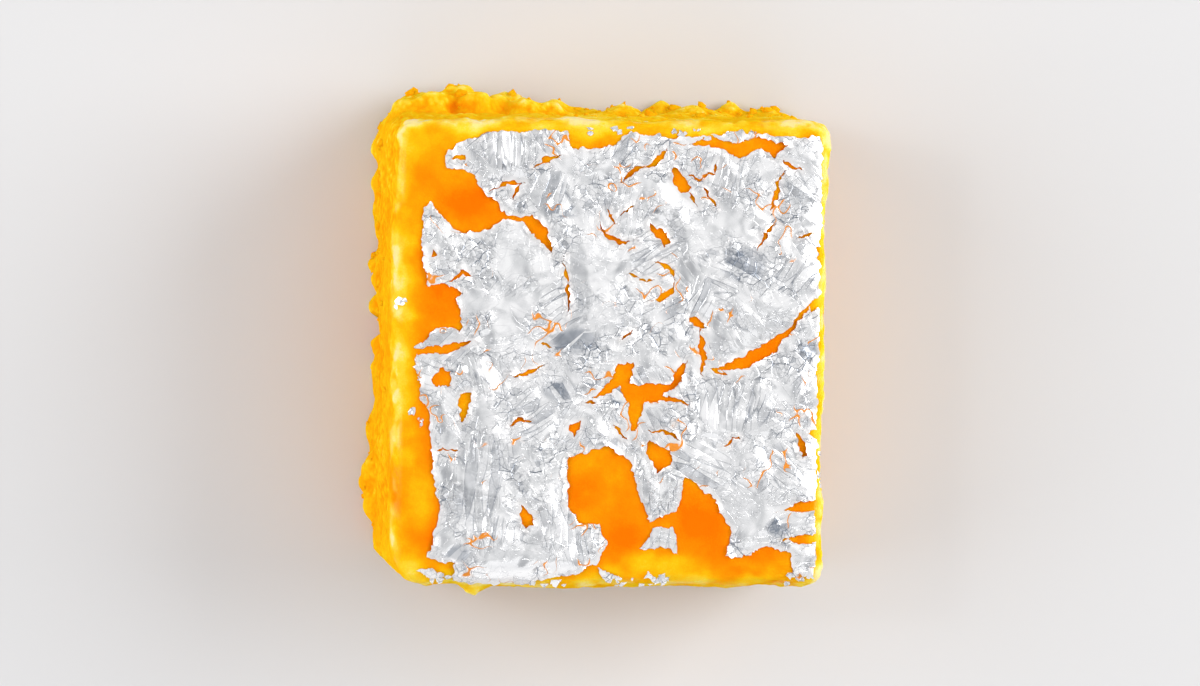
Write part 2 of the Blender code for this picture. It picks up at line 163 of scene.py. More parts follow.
def granules(point, spacing, seed=0.0):
    distances, _ = noise.voronoi(point / spacing + Vector((seed, seed, seed)))
    return 0.5 - distances[0]


# A stray direction for each place; noise.noise_vector won't do, since it starts from the clock
def strayAt(place):
    return Vector([noise.noise(place + Vector((away, 0, 0))) for away in (11.3, 47.9, 83.1)])


def smoothStep(low, high, value):
    share = min(1.0, max(0.0, (value - low) / (high - low)))
    return share * share * (3 - 2 * share)


# The block of fudge

block = {
    "voxel": 0.25 * mm,
    "base": 0.6,                         # what is lower than this many voxels is the flat base
    "topLevel": 20.4 * mm,
    "sideBand": (1.2 * mm, 3.0 * mm),    # under the top, where its look turns into the sides'
    "softening": 4,                      # rounds of smoothing, which take the solid's facets away
    "topSwirl": (0.07 * mm, 3.6 * mm),   # each relief is (height, spacing)
    "topGrain": (0.030 * mm, 0.75 * mm),
    "sideCrag": (0.17 * mm, 2.6 * mm),
    "sideGranule": (0.24 * mm, 1.25 * mm),
    "sideGrain": (0.17 * mm, 0.70 * mm),
    "crumbPatch": 5.5 * mm,              # how far apart the rough places of the sides are
    "crumbliness": (0.4, 0.75),          # of the smooth places, and what the rough ones add
    "rimChip": (0.16 * mm, 1.5 * mm),
    # How wide the pale rim of the top is on each side, and how pale; the paleness is painted light
    # along the rounded edge
    "rims": {"left": (2.3 * mm, 1.1), "right": (1.5 * mm, 1.9),
             "front": (2.4 * mm, 1.1), "back": (1.7 * mm, 1.3)},
    "ridge": 0.85 * mm,                  # how wide the shiny corner along the top's rim is, where the coat shines and a highlight is painted
    "ridgeShift": 0.15 * mm,             # how far outside the rim its middle lies
    "cornerBlend": 1.5 * mm,             # over which one side's paleness turns into the next one's
    # How pale each side is: painted light, stronger on some sides than on others
    "paleSides": {"left": 0.05, "right": 0.2, "front": 0.25, "back": 0.4},
    # Where the cut top is a deeper orange or a paler yellow: x, y, half width and half depth,
    # in mm from its middle
    "deepSpots": ((8.4, -14.2, 3.0, 2.6), (-13.4, 13.6, 3.4, 2.0), (-14.8, 4.6, 2.2, 3.0),
                  (2.4, -16.4, 2.4, 1.8), (-1.9, -12.4, 2.2, 2.4), (13.6, -17.6, 2.2, 1.4)),
    "yellowSpots": ((-17.0, 18.6, 4.2, 3.2), (-17.6, 12.6, 2.4, 4.2), (-17.2, -13.0, 1.9, 5.0),
                    (6.6, -19.2, 4.2, 1.6)),
    "yellowness": 0.6,
    # The material paints shade into the hollows of this relief and light onto its raised places
    "cavityRounds": 9,                   # of smoothing, for the surface relief is measured from
    "cavityDepth": 0.10 * mm,            # the height over it that counts as fully raised
}


def blockRelief(point, normal):
    below = sideShare(point)
    upness = max(0.0, normal.z) * (1 - below)
    sideness = max(1 - abs(normal.z), below)
    rim = math.sin(math.pi * upness) if upness > 0 else 0.0
    height = 0.0
    for key, share in (("topSwirl", upness), ("topGrain", upness), ("sideCrag", sideness)):
        depth, spacing = block[key]
        height += share * depth * bumps(point, spacing, len(key))
    least, more = block["crumbliness"]
    crumbly = least + more * smoothStep(-0.3, 0.3, bumps(point, block["crumbPatch"], 19))
    for key in ("sideGranule", "sideGrain"):
        depth, spacing = block[key]
        height += sideness * crumbly * depth * granules(point, spacing, len(key))
    depth, spacing = block["rimChip"]
    height -= rim * depth * max(0.0, bumps(point, spacing, 31))
    return height


# How far a place lies down the sides, from 0 to 1
def sideShare(point):
    return smoothStep(*block["sideBand"], block["topLevel"] - point.z)


def rimGaps(point):
    x, y = point.to_2d() - topMiddle
    return {"left": x + topHalf.x, "right": topHalf.x - x,
            "front": y + topHalf.y, "back": topHalf.y - y}


# How near a place is to the corner round the top, from 0 to 1; there the coat shines and a
# highlight is painted into the colour
def ridgeShare(point):
    gap = min(rimGaps(point).values()) + block["ridgeShift"]
    return (1 - smoothStep(0.4, 1.3, abs(gap) / block["ridge"])) * (1 - sideShare(point))


# How pale a place on the top is, from 0 to 1 at its rim: painted light along the rounded edge,
# broken into patches; down the sides, each side's painted light
def rimShare(point):
    gaps = rimGaps(point)
    wander = 1 + 0.6 * bumps(point, 3.1 * mm, 6) + 0.3 * bumps(point, 0.9 * mm, 8)
    patchiness = min(1.0, max(0.25, 0.65 + 0.7 * bumps(point, 2.2 * mm, 12)))
    paleness = 0.0
    for side, gap in gaps.items():
        reach, pale = block["rims"][side]
        paleness = max(paleness, pale * (1 - smoothStep(0.3, 1.4, gap / (reach * wander))))
    yellow = block["yellowness"] * spotShare(block["yellowSpots"], point)
    paleness = max(min(1.0, paleness * patchiness), yellow)
    below = sideShare(point)
    return paleness * (1 - below) + below * paintedSideLight(gaps) * wander


# Painted light on the sides: how pale each side is, blended from one to the next round the corners
def paintedSideLight(gaps):
    weights = {side: math.exp(-gap / block["cornerBlend"]) for side, gap in gaps.items()}
    paleness = sum(weight * block["paleSides"][side] for side, weight in weights.items())
    return paleness / sum(weights.values())


# How near a place is to the middle of the nearest spot, from 0 to 1
def spotShare(spots, point):
    x, y = (point.to_2d() - topMiddle) / mm
    return max(1 - smoothStep(0.3, 1.1, math.hypot((x - midX) / halfX, (y - midY) / halfY))
               for midX, midY, halfX, halfY in spots)


def openBase(bm):
    low = [v for v in bm.verts if v.co.z < block["voxel"] * block["base"]]
    for vert in low:
        vert.co.z = 0
    flat = [f for f in bm.faces if all(v.co.z == 0 for v in f.verts)]
    bmesh.ops.dissolve_faces(bm, faces=flat)


# Two triangles back to back on the same three corners enclose nothing
def removeTwins(bm):
    onCorners = {}
    for face in bm.faces:
        onCorners.setdefault(frozenset(face.verts), []).append(face)
    twins = [face for faces in onCorners.values() if len(faces) > 1 for face in faces]
    bmesh.ops.delete(bm, geom=twins, context="FACES")


def paintBlock(bm):
    smoothed = bm.copy()
    soften(smoothed, block["cavityRounds"])
    relief, rim, side, deep, ridge = paintLayers(bm, "relief", "rim", "side", "deep", "ridge")
    for vert, soft in zip(bm.verts, smoothed.verts):
        # Raised places get painted light and hollows painted shade in the material
        vert[relief] = (vert.co - soft.co).dot(vert.normal) / block["cavityDepth"]
        vert[rim] = rimShare(vert.co)
        vert[side] = sideShare(vert.co)
        vert[deep] = spotShare(block["deepSpots"], vert.co) * (1 - vert[side])
        vert[ridge] = ridgeShare(vert.co)
    smoothed.free()


def makeBlock():
    made = newObject("fudgeBlock", mergedCopy("barfi_block"))
    remesh = made.modifiers.new("fine mesh", "REMESH")
    remesh.mode = "VOXEL"
    remesh.voxel_size = block["voxel"]
    applyModifiers(made)
    bm = meshOf(made)
    soften(bm, block["softening"])
    openBase(bm)
    bm.normal_update()
    places = [(v, v.co.copy(), v.normal.copy()) for v in bm.verts]
    for vert, point, normal in places:
        height = blockRelief(point, normal)
        if point.z == 0:
            vert.co += Vector((normal.x, normal.y, 0)) * height
        else:
            vert.co += normal * height
            vert.co.z = max(vert.co.z, aboveFloor)
    bm.normal_update()
    paintBlock(bm)
    tree = BVHTree.FromBMesh(bm)
    bmesh.ops.triangulate(bm, faces=bm.faces)
    removeTwins(bm)
    bm.to_mesh(made.data)
    bm.free()
    made.data.shade_smooth()
    return made, tree


# Loose crumbs that cling to the sides and lie along the foot

crumbs = {
    "count": 420,
    "radius": (0.14 * mm, 0.62 * mm),
    "lowest": 0.2 * mm,
    "highest": 16.5 * mm,
    "lowCrowding": 2.2,                  # above 1 brings more of them to the foot
    "calmLeft": 0.6,                     # the share left out on the smoother left side
    "squash": (0.7, 1.25),
    "lumpiness": (0.75, 0.9),
    "sink": (-0.45, 0.15),               # how far the middle of a crumb stands out, in radii
    "relief": 0.4,                       # as bright as places of the block raised this much, which the material paints lighter
    "draw": 23,
}


def makeCrumbs(blockObject):
    draw = random.Random(crumbs["draw"])
    sides = [p for p in blockObject.data.polygons
             if abs(p.normal.z) < 0.5 and crumbs["lowest"] < p.center.z < crumbs["highest"]]
    bm = bmesh.new()
    placed = 0
    while placed < crumbs["count"]:
        spot = draw.choice(sides)
        if draw.random() > (1 - spot.center.z / crumbs["highest"]) ** crumbs["lowCrowding"]:
            continue
        if spot.normal.x < -0.5 and draw.random() < crumbs["calmLeft"]:
            continue
        small, large = crumbs["radius"]
        radius = small + (large - small) * draw.random() ** 3
        centre = spot.center + spot.normal * radius * draw.uniform(*crumbs["sink"])
        centre.z = max(centre.z, radius * 0.8)
        angle = draw.uniform(0, math.tau)
        turn = Matrix.Rotation(angle, 4, Vector([draw.uniform(-1, 1) for _ in range(3)]))
        squash = Matrix.Diagonal([draw.uniform(*crumbs["squash"]) for _ in range(3)] + [1])
        ball = bmesh.ops.create_icosphere(bm, subdivisions=1, radius=radius)
        lump, spacing = crumbs["lumpiness"]
        seed = draw.uniform(10, 90)
        for vert in ball["verts"]:
            vert.co *= 1 + lump * bumps(vert.co / radius, spacing, seed)
            vert.co = (turn @ squash @ vert.co) + centre
            vert.co.z = max(vert.co.z, aboveFloor)
        placed += 1
    relief, side = paintLayers(bm, "relief", "side")
    for vert in bm.verts:
        vert[relief] = crumbs["relief"]
        vert[side] = 1.0
    bm.normal_update()
    made = newObject("clingingCrumbs", bm)
    made.data.shade_smooth()
    return made


# The silver leaf. Places on it are in millimetres from the middle of the top.

leaf = {
    "cell": 0.155 * mm,
    "margin": 0.4 * mm,                  # of the grid round the solid's box
    # (height, spacing) of the grid before the cut, which would merge the faces of a flat one
    "ripple": (0.05 * mm, 0.4 * mm),
    "cutReach": 5 * mm,                  # how far the shapes that cut it reach up and down
    "thickness": 0.03 * mm,
    "clearance": 0.06 * mm,
    "deepest": 2.4 * mm,                 # the lowest it hangs, under the highest point of all
    "probe": 0.14 * mm,                  # how far round a point the block under it is felt
    "triangles": 80000,                  # at most, of its upper face
    "sharpFrom": 26,                     # degrees between faces
    "edgeJitter": ((0.30, 1.3), (0.26, 0.42)),    # (reach, spacing) in mm
    "smallestIsland": 24,                # vertices
    "curl": (0.40, 0.6),                 # (rise, reach) in mm
    "curlSpacing": 1.6,                  # in mm
    "settle": 1.9,                       # how far from an edge the creases fade, in mm
    "settled": 0.85,                     # by how much, at the edge
    "bend": (0.35, 3.1),                 # of all creases: (reach, spacing) in mm
}

# Creases: (height, spacing, heading), in mm and degrees
facets = ((0.26, 3.6, 27), (0.09, 1.6, -19))
pleat = {"height": 0.036, "spacing": 0.62, "stretch": 5.0, "patch": 4.2}

# Places of one kind: x, y, half width, half depth, and the heading and strength of their pleats
flatZones = {
    "left": (-8.8, 9.0, 2.3, 2.9), "bright": (8.2, 11.0, 2.4, 1.9),
    "middle": (-1.7, 8.4, 2.7, 2.7), "front": (-9.2, -18.6, 2.6, 2.2),
    "low right": (12.4, -14.0, 2.6, 2.4), "centre": (-1.0, 3.2, 1.8, 1.6),
}
pleatZones = {
    "back": (-9.4, 18.3, 2.9, 2.2, 90, 1.2), "fan": (11.3, -4.6, 4.2, 2.6, 84, 1.0),
    "left column": (-11.8, -11.5, 2.6, 5.5, 88, 0.75), "wing": (8.0, 4.8, 1.4, 3.0, 66, 1.2),
    "front fan": (-4.6, -14.6, 2.2, 3.6, 100, 0.7), "corner": (16.0, -9.8, 2.2, 2.6, -38, 1.0),
    "back middle": (-5.4, 14.6, 2.4, 2.2, 74, 1.1),
}
# Places where the leaf is rougher and painted darker, as painted shade for the darker surroundings
# it reflects there
dullShadedZones = {
    "grey": (11.9, 8.2, 2.2, 1.7), "streak": (-4.5, 12.9, 1.8, 0.7),
    "lower streak": (-4.6, -3.3, 1.6, 1.0), "flap": (0.8, -3.7, 0.9, 0.8),
    "edge upper": (18.4, 6.9, 0.7, 0.5), "edge lower": (17.8, 0.5, 0.9, 0.9),
    "corner": (15.4, -15.4, 1.2, 1.0), "middle dusk": (-3.2, 1.2, 2.2, 1.4),
    "foot": (-13.6, -17.9, 1.2, 0.8),
}

# Tears too fine for the solid: corners of a line, and the width, in mm
fineTears = {
    "crack above the loop": ((-0.6, 13.3), (0.4, 11.7), 0.28),
    "inner ring": ((1.5, 7.4), (2.5, 6.8), (4.0, 6.7), 0.30),
    "round flap": ((9.3, 17.6), (9.0, 16.4), (7.7, 15.8), (6.6, 16.3), 0.26),
    "flap tail right": ((8.2, 15.3), (9.4, 13.2), 0.26),
    "flap tail left": ((6.8, 14.7), (7.6, 13.4), 0.24),
    "back hook": ((15.1, 17.6), (17.0, 16.8), 0.36),
    "bay slit": ((-8.3, 15.4), (-9.2, 13.9), 0.34),
    "middle bow": ((-6.7, 1.1), (-5.2, 0.5), 0.30),
    "middle smile": ((-9.5, -2.0), (-8.0, -1.8), (-5.8, -0.7), 0.28),
    "low cluster": ((-9.0, -6.5), (-8.1, -5.8), (-7.1, -6.0), 0.34),
    "centre dash": ((0.9, 1.5), (2.1, 2.3), 0.26),
    "centre whisker": ((-2.6, -4.1), (-1.2, -4.4), 0.26),
    "arm below": ((0.1, -6.2), (1.7, -7.6), 0.30),
    "curve dash": ((10.5, -1.7), (9.0, -1.2), 0.32),
    "right whisker": ((10.3, -8.2), (11.4, -7.4), (11.9, -7.6), 0.26),
    "curve tip": ((8.4, -2.0), (8.0, -0.6), 0.24),
    "left specks": ((-14.6, 6.5), (-13.6, 7.3), (-12.6, 7.0), 0.42),
    "left speck": ((-16.3, 9.3), (-16.0, 8.6), 0.42),
    "loop dash": ((0.6, 12.6), (2.0, 13.4), 0.26),
    "right dash": ((16.6, 10.6), (18.4, 11.3), 0.24),
    "low dash": ((-13.6, -8.7), (-15.6, -8.6), 0.22),
}
tearSteps = 5             # pieces of each stretch of its line
tearTip = 0.12            # the narrowest it gets, as a share of its width
tearSway = (0.12, 0.7)    # (reach, spacing) in mm


def zoneShare(zone, x, y):
    away = math.hypot((x - zone[0]) / zone[2], (y - zone[1]) / zone[3])
    return 1 - smoothStep(0.6, 1.15, away)


def strongest(zones, x, y):
    return max(zoneShare(zone, x, y) for zone in zones.values())


# How far a place lies along a heading, and across it
def turned(x, y, heading):
    turn = math.radians(heading)
    return x * math.cos(turn) + y * math.sin(turn), y * math.cos(turn) - x * math.sin(turn)


# Four-sided pyramids with sharp creases between them
def pyramids(x, y, spacing, heading):
    along, across = turned(x, y, heading)
    place = Vector((along / spacing, across / spacing, 0.3))
    distances, _ = noise.voronoi(place, distance_metric="MANHATTAN")
    return distances[0]


def ridges(x, y, spacing, stretch, heading, seed):
    along, across = turned(x, y, heading)
    return 1 - 3 * abs(noise.noise(Vector((along / (spacing * stretch), across / spacing, seed))))


# The heading and strength of the pleats round a place, the same all over a patch
def pleatPatch(x, y):
    distances, corners = noise.voronoi(Vector((x / pleat["patch"], y / pleat["patch"], 4.1)))
    heading = 92 + 110 * (noise.cell(corners[0] * 9.7) - 0.5)
    strength = 0.25 + 0.75 * noise.cell(corners[0] * 5.3)
    seam = smoothStep(0, 0.12, distances[1] - distances[0])
    for zone in pleatZones.values():
        share = zoneShare(zone, x, y)
        if share > 0.5:
            return zone[4], zone[5], share
    return heading, strength, seam


# The bend of all creases round a place, so that none runs straight
def bentPlace(x, y):
    reach, spacing = leaf["bend"]
    bend = strayAt(Vector((x / spacing, y / spacing, 2.2)))
    return x + reach * bend.x, y + reach * bend.y


def pleatedShare(x, y):
    _, strength, seam = pleatPatch(x, y)
    return (1 - 0.9 * strongest(flatZones, x, y)) * strength * seam


def foilRelief(x, y):
    bentX, bentY = bentPlace(x, y)
    height = 0.0
    for rise, spacing, heading in facets:
        height += rise * pyramids(bentX, bentY, spacing, heading)
    heading = pleatPatch(x, y)[0]
    folds = ridges(bentX, bentY, pleat["spacing"], pleat["stretch"], heading, 1.3)
    return height + pleat["height"] * pleatedShare(x, y) * folds


def raiseFaces(bm):
    raised = bmesh.ops.extrude_face_region(bm, geom=bm.faces[:])
    corners = [v for v in raised["geom"] if isinstance(v, bmesh.types.BMVert)]
    bmesh.ops.translate(bm, vec=(0, 0, 2 * leaf["cutReach"]), verts=corners)


# The outline of a node from above, as a prism
def makePlanPrism(node):
    bm = mergedCopy(node)
    under = [f for f in bm.faces if f.normal.z < 0.2]
    bmesh.ops.delete(bm, geom=under, context="FACES")
    for vert in bm.verts:
        vert.co.z = -leaf["cutReach"]
    raiseFaces(bm)
    bmesh.ops.recalc_face_normals(bm, faces=bm.faces)
    return newObject(node + "Plan", bm)


# A blade through the corners of a line, pointed at both ends
def makeBlade(name, corners, width, collection):
    line = [Vector(corner) for corner in corners]
    centres = []
    for start, end in zip(line, line[1:]):
        centres += [start.lerp(end, step / tearSteps) for step in range(tearSteps)]
    centres.append(line[-1])
    reach, spacing = tearSway
    sides = ([], [])
    for number, centre in enumerate(centres):
        ahead = centres[min(number + 1, len(centres) - 1)] - centres[max(number - 1, 0)]
        across = Vector((-ahead.y, ahead.x)).normalized()
        share = number / (len(centres) - 1)
        half = width / 2 * max(tearTip, math.sin(math.pi * share) ** 0.6)
        sway = across * reach * noise.noise(Vector((centre.x / spacing, centre.y / spacing, 0.5)))
        for side, sign in zip(sides, (1, -1)):
            side.append(centre + sway + across * half * sign)
    outline = sides[0] + sides[1][::-1]
    bm = bmesh.new()
    low = -leaf["cutReach"]
    bm.faces.new([bm.verts.new((point.x * mm + topMiddle.x, point.y * mm + topMiddle.y, low))
                  for point in outline])
    raiseFaces(bm)
    bmesh.ops.triangulate(bm, faces=bm.faces)
    bmesh.ops.recalc_face_normals(bm, faces=bm.faces)
    return newObject(name, bm, collection)


# An even grid over the node's box, nearly flat, cut to the node's outline from above
def cutSheet(name, node, tears):
    low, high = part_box(node)
    size = high - low + Vector((2 * leaf["margin"], 2 * leaf["margin"], 0))
    middle = (low + high) / 2
    rise, spacing = leaf["ripple"]
    bm = bmesh.new()
    bmesh.ops.create_grid(bm, x_segments=round(size.x / leaf["cell"]),
                          y_segments=round(size.y / leaf["cell"]), size=0.5)
    for vert in bm.verts:
        vert.co.x = middle.x + vert.co.x * size.x
        vert.co.y = middle.y + vert.co.y * size.y
        vert.co.z = rise * bumps(vert.co, spacing)
    bmesh.ops.triangulate(bm, faces=bm.faces)
    made = newObject(name, bm)
    thick = made.modifiers.new("thick", "SOLIDIFY")
    thick.thickness = 1 * mm
    prism = makePlanPrism(node)
    keep = made.modifiers.new("outline", "BOOLEAN")
    keep.operation = "INTERSECT"
    keep.solver = "MANIFOLD"
    keep.object = prism
    if tears:
        tear = made.modifiers.new("tears", "BOOLEAN")
        tear.operation = "DIFFERENCE"
        tear.solver = "MANIFOLD"
        tear.operand_type = "COLLECTION"
        tear.collection = tears
    applyModifiers(made)
    removeObject(prism)
    return made


# The same mesh with its vertices and faces in order of place, since the cut lists them in
# another order each time
def inOrder(bm):
    ordered = sorted(bm.verts, key=lambda vert: vert.co.to_tuple())
    numbers = {vert: number for number, vert in enumerate(ordered)}
    loops = []
    for face in bm.faces:
        loop = [numbers[vert] for vert in face.verts]
        first = loop.index(min(loop))
        loops.append(loop[first:] + loop[:first])
    tidy = bmesh.new()
    verts = [tidy.verts.new(vert.co) for vert in ordered]
    for loop in sorted(loops):
        tidy.faces.new([verts[number] for number in loop])
    bm.free()
    return tidy


# A map in mm whose first axis runs across the pleats of each patch
def mapPleats(bm):
    layer = bm.loops.layers.uv.new("pleats")
    for face in bm.faces:
        heading = pleatPatch(*(face.calc_center_median().to_2d() - topMiddle) / mm)[0]
        for loop in face.loops:
            bent = bentPlace(*(loop.vert.co.to_2d() - topMiddle) / mm)
            along, across = turned(*bent, heading)
            loop[layer].uv = (across, along)


def keepUpperFace(bm):
    under = [f for f in bm.faces if f.normal.z < 0.3 or f.calc_center_median().z < -0.2 * mm]
    bmesh.ops.delete(bm, geom=under, context="FACES")
    islands = islandsOf(bm)
    smallest = min(leaf["smallestIsland"], max(len(island) for island in islands))
    for island in islands:
        if len(island) < smallest:
            bmesh.ops.delete(bm, geom=island, context="VERTS")


# The highest place of the block under a point of the leaf
def levelUnder(blockTree, spot):
    levels = [cadBox[1].z - leaf["deepest"]]
    step = leaf["probe"]
    for stepX, stepY in ((0, 0), (step, 0), (-step, 0), (0, step), (0, -step)):
        hit = blockBelow(blockTree, spot.x + stepX, spot.y + stepY)
        if hit:
            levels.append(hit.z)
    return max(levels)


def drapeSheet(made, blockTree):
    bm = inOrder(meshOf(made))
    bm.normal_update()
    keepUpperFace(bm)
    rims = [v for v in bm.verts if v.is_boundary]
    for vert in rims:
        flat = Vector((vert.co.x, vert.co.y, 0)) / mm
        for reach, spacing in leaf["edgeJitter"]:
            stray = strayAt(flat / spacing) * reach * mm
            vert.co += Vector((stray.x, stray.y, 0))
    rimTree = KDTree(len(rims))
    for number, vert in enumerate(rims):
        rimTree.insert((vert.co.x, vert.co.y, 0), number)
    rimTree.balance()
    dull, edge, pleated, plain = paintLayers(bm, "dull", "edge", "pleated", "plain")
    rise, curlReach = leaf["curl"]
    for vert in bm.verts:
        x = (vert.co.x - topMiddle.x) / mm
        y = (vert.co.y - topMiddle.y) / mm
        _, _, away = rimTree.find((vert.co.x, vert.co.y, 0))
        nearEdge = 1 - smoothStep(0, curlReach * mm, away)
        lifted = noise.noise(Vector((x / leaf["curlSpacing"], y / leaf["curlSpacing"], 3.3)))
        settled = 1 - smoothStep(0, leaf["settle"] * mm, away)
        curl = rise * nearEdge * max(0.0, lifted - 0.05)
        height = foilRelief(x, y) * (1 - leaf["settled"] * settled) + curl
        vert.co.z = levelUnder(blockTree, vert.co) + leaf["clearance"] + height * mm
        vert[dull] = strongest(dullShadedZones, x, y)
        vert[edge] = nearEdge
        vert[pleated] = pleatedShare(x, y)
        vert[plain] = strongest(flatZones, x, y)
    bm.normal_update()
    flipped = [f for f in bm.faces if f.normal.z < 0]
    bmesh.ops.reverse_faces(bm, faces=flipped)
    mapPleats(bm)
    bm.to_mesh(made.data)
    bm.free()


def finishSheet(made):
    thin = made.modifiers.new("fewer", "DECIMATE")
    thin.ratio = min(1.0, leaf["triangles"] / len(made.data.polygons))
    solid = made.modifiers.new("thickness", "SOLIDIFY")
    solid.thickness = leaf["thickness"]
    solid.offset = -1
    solid.use_even_offset = False
    applyModifiers(made)
    made.data.shade_smooth()
    made.data.set_sharp_from_angle(angle=math.radians(leaf["sharpFrom"]))


def makeLeaf(blockTree):
    tears = bpy.data.collections.new("fine tears")
    bpy.context.scene.collection.children.link(tears)
    for name, tear in fineTears.items():
        makeBlade(name, tear[:-1], tear[-1], tears)
    sheets = {}
    for node in ("silver_leaf", "leaf_scrap_prong", "leaf_scrap_front", "leaf_scrap_corner"):
        main = node == "silver_leaf"
        name = "silverLeafSheet" if main else "silverScrap" + node.rsplit("_", 1)[1].title()
        made = cutSheet(name, node, tears if main else None)
        drapeSheet(made, blockTree)
        finishSheet(made)
        sheets[node] = made
        print(name, len(made.data.polygons), "faces")
    for blade in list(tears.objects):
        removeObject(blade)
    bpy.data.collections.remove(tears)
    return sheets


# Small flecks of leaf: x, y, how many, and how far they scatter, in mm from the middle of the top

flecks = {
    "places": {
        "front speckles": (4.6, -20.3, 16, 1.5, 0.7), "front specks": (1.5, -20.4, 6, 0.9, 0.5),
        "front left": (-14.4, -20.6, 10, 2.0, 0.6), "front middle": (-5.4, -20.6, 7, 1.6, 0.4),
        "back": (9.6, 19.9, 12, 4.2, 0.4), "back left": (-0.8, 20.2, 5, 2.5, 0.3),
        "right rim": (19.1, -9.5, 8, 0.3, 3.5), "left ridge": (-19.0, 4.6, 5, 0.5, 0.6),
        "left bay": (-17.0, -4.0, 6, 0.9, 2.6), "corner": (17.4, -20.1, 6, 1.1, 0.5),
    },
    "size": (0.14, 0.42),                # radius in mm
    "stretch": (0.5, 1.6),
    "raggedness": (0.45, 1.3),           # how far each corner stands out, in radii
    "corners": 9,
    "lowest": 17.5 * mm,                 # those that would lie lower are left out
    "follow": 0.35,                      # how closely they follow the bumps under them
    "lift": 0.07 * mm,
    "curl": 0.12,
    "paint": {"dull": 0.0, "edge": 0.3, "pleated": 0.3},
    "draw": 5,
}


def makeFlecks(blockTree):
    draw = random.Random(flecks["draw"])
    bm = bmesh.new()
    for x, y, count, reachX, reachY in flecks["places"].values():
        for _ in range(count):
            spotX = topMiddle.x + (x + draw.uniform(-reachX, reachX)) * mm
            spotY = topMiddle.y + (y + draw.uniform(-reachY, reachY)) * mm
            size = draw.uniform(*flecks["size"]) * mm
            stretch = draw.uniform(*flecks["stretch"])
            turn = Matrix.Rotation(draw.uniform(0, math.tau), 4, "Z")
            scrap = bmesh.ops.create_circle(bm, cap_ends=True, cap_tris=True,
                                            segments=flecks["corners"], radius=size)
            below = blockBelow(blockTree, spotX, spotY)
            onTop = below is not None
            for vert in scrap["verts"]:
                flat = Vector((vert.co.x * stretch, vert.co.y, 0))
                vert.co = turn @ flat * draw.uniform(*flecks["raggedness"])
                vert.co.x += spotX
                vert.co.y += spotY
                hit = blockBelow(blockTree, vert.co.x, vert.co.y)
                onTop = onTop and hit is not None and hit.z > flecks["lowest"]
                if onTop:
                    level = flecks["follow"] * hit.z + (1 - flecks["follow"]) * below.z
                    vert.co.z = level + flecks["lift"] + draw.uniform(0, flecks["curl"]) * size
            if not onTop:
                bmesh.ops.delete(bm, geom=scrap["verts"], context="VERTS")
    for layer, value in zip(paintLayers(bm, *flecks["paint"]), flecks["paint"].values()):
        for vert in bm.verts:
            vert[layer] = value
    mapPleats(bm)
    bmesh.ops.recalc_face_normals(bm, faces=bm.faces)
    for face in bm.faces:
        if face.normal.z < 0:
            face.normal_flip()
    made = newObject("silverFlecks", bm)
    solid = made.modifiers.new("thickness", "SOLIDIFY")
    solid.thickness = leaf["thickness"]
    solid.offset = -1
    applyModifiers(made)
    return made


# Materials

# A shader socket that can be used like a number; its node method makes every node
class Wire:
    def __init__(self, tree, socket=None):
        self.tree = tree
        self.socket = socket

    def node(self, kind, settings=None, inputs=None, output=0):
        made = self.tree.nodes.new("ShaderNode" + kind)
        for name, value in (settings or {}).items():
            if name == "stops":
                fillRamp(made.color_ramp, value)
            else:
                setattr(made, name, value)
        for name, value in (inputs or {}).items():
            if isinstance(value, Wire):
                self.tree.links.new(value.socket, made.inputs[name])
            else:
                made.inputs[name].default_value = value
        return Wire(self.tree, made.outputs[output])

    def other(self, output):
        return Wire(self.tree, self.socket.node.outputs[output])

    def maths(self, operation, first, second=0.0, third=0.0):
        return self.node("Math", {"operation": operation}, {0: first, 1: second, 2: third})

    def vector(self, operation, first, second, output=0):
        return self.node("VectorMath", {"operation": operation}, {0: first, 1: second}, output)

    def __add__(self, other):
        return self.maths("ADD", self, other)

    __radd__ = __add__

    def __mul__(self, other):
        return self.maths("MULTIPLY", self, other)

    __rmul__ = __mul__

    def __sub__(self, other):
        return self.maths("SUBTRACT", self, other)

    def __rsub__(self, other):
        return self.maths("SUBTRACT", other, self)

    def clamped(self):
        return self.node("Clamp", None, {0: self})

    def between(self, low, high):
        settings = {"interpolation_type": "SMOOTHSTEP"}
        return self.node("MapRange", settings, {0: self, 1: low, 2: high})

    def mixed(self, first, second, blend="MIX"):
        settings = {"data_type": "RGBA", "blend_type": blend}
        return self.node("Mix", settings, {0: self, 6: first, 7: second}, 2)


def fillRamp(ramp, stops):
    while len(ramp.elements) < len(stops):
        ramp.elements.new(0.5)
    for element, (place, colour) in zip(ramp.elements, stops):
        element.position = place
        element.color = (*colour, 1)


def newMaterial(name, steady):
    material = bpy.data.materials.new(name)
    material.use_nodes = True
    shader = material.node_tree.nodes["Principled BSDF"]
    for socket, value in steady.items():
        shader.inputs[socket].default_value = value
    return material, Wire(material.node_tree), shader


def feed(shader, socket, wire):
    wire.tree.links.new(wire.socket, shader.inputs[socket])


def noiseAt(place, spacing, detail):
    return place.node("TexNoise", None, {"Vector": place, "Scale": 1 / spacing, "Detail": detail})


def painted(wire, *names):
    return [wire.node("Attribute", {"attribute_name": name}, output="Fac") for name in names]


def bumped(height, strength, distance):
    inputs = {"Strength": strength, "Distance": distance, "Height": height}
    return height.node("Bump", None, inputs)


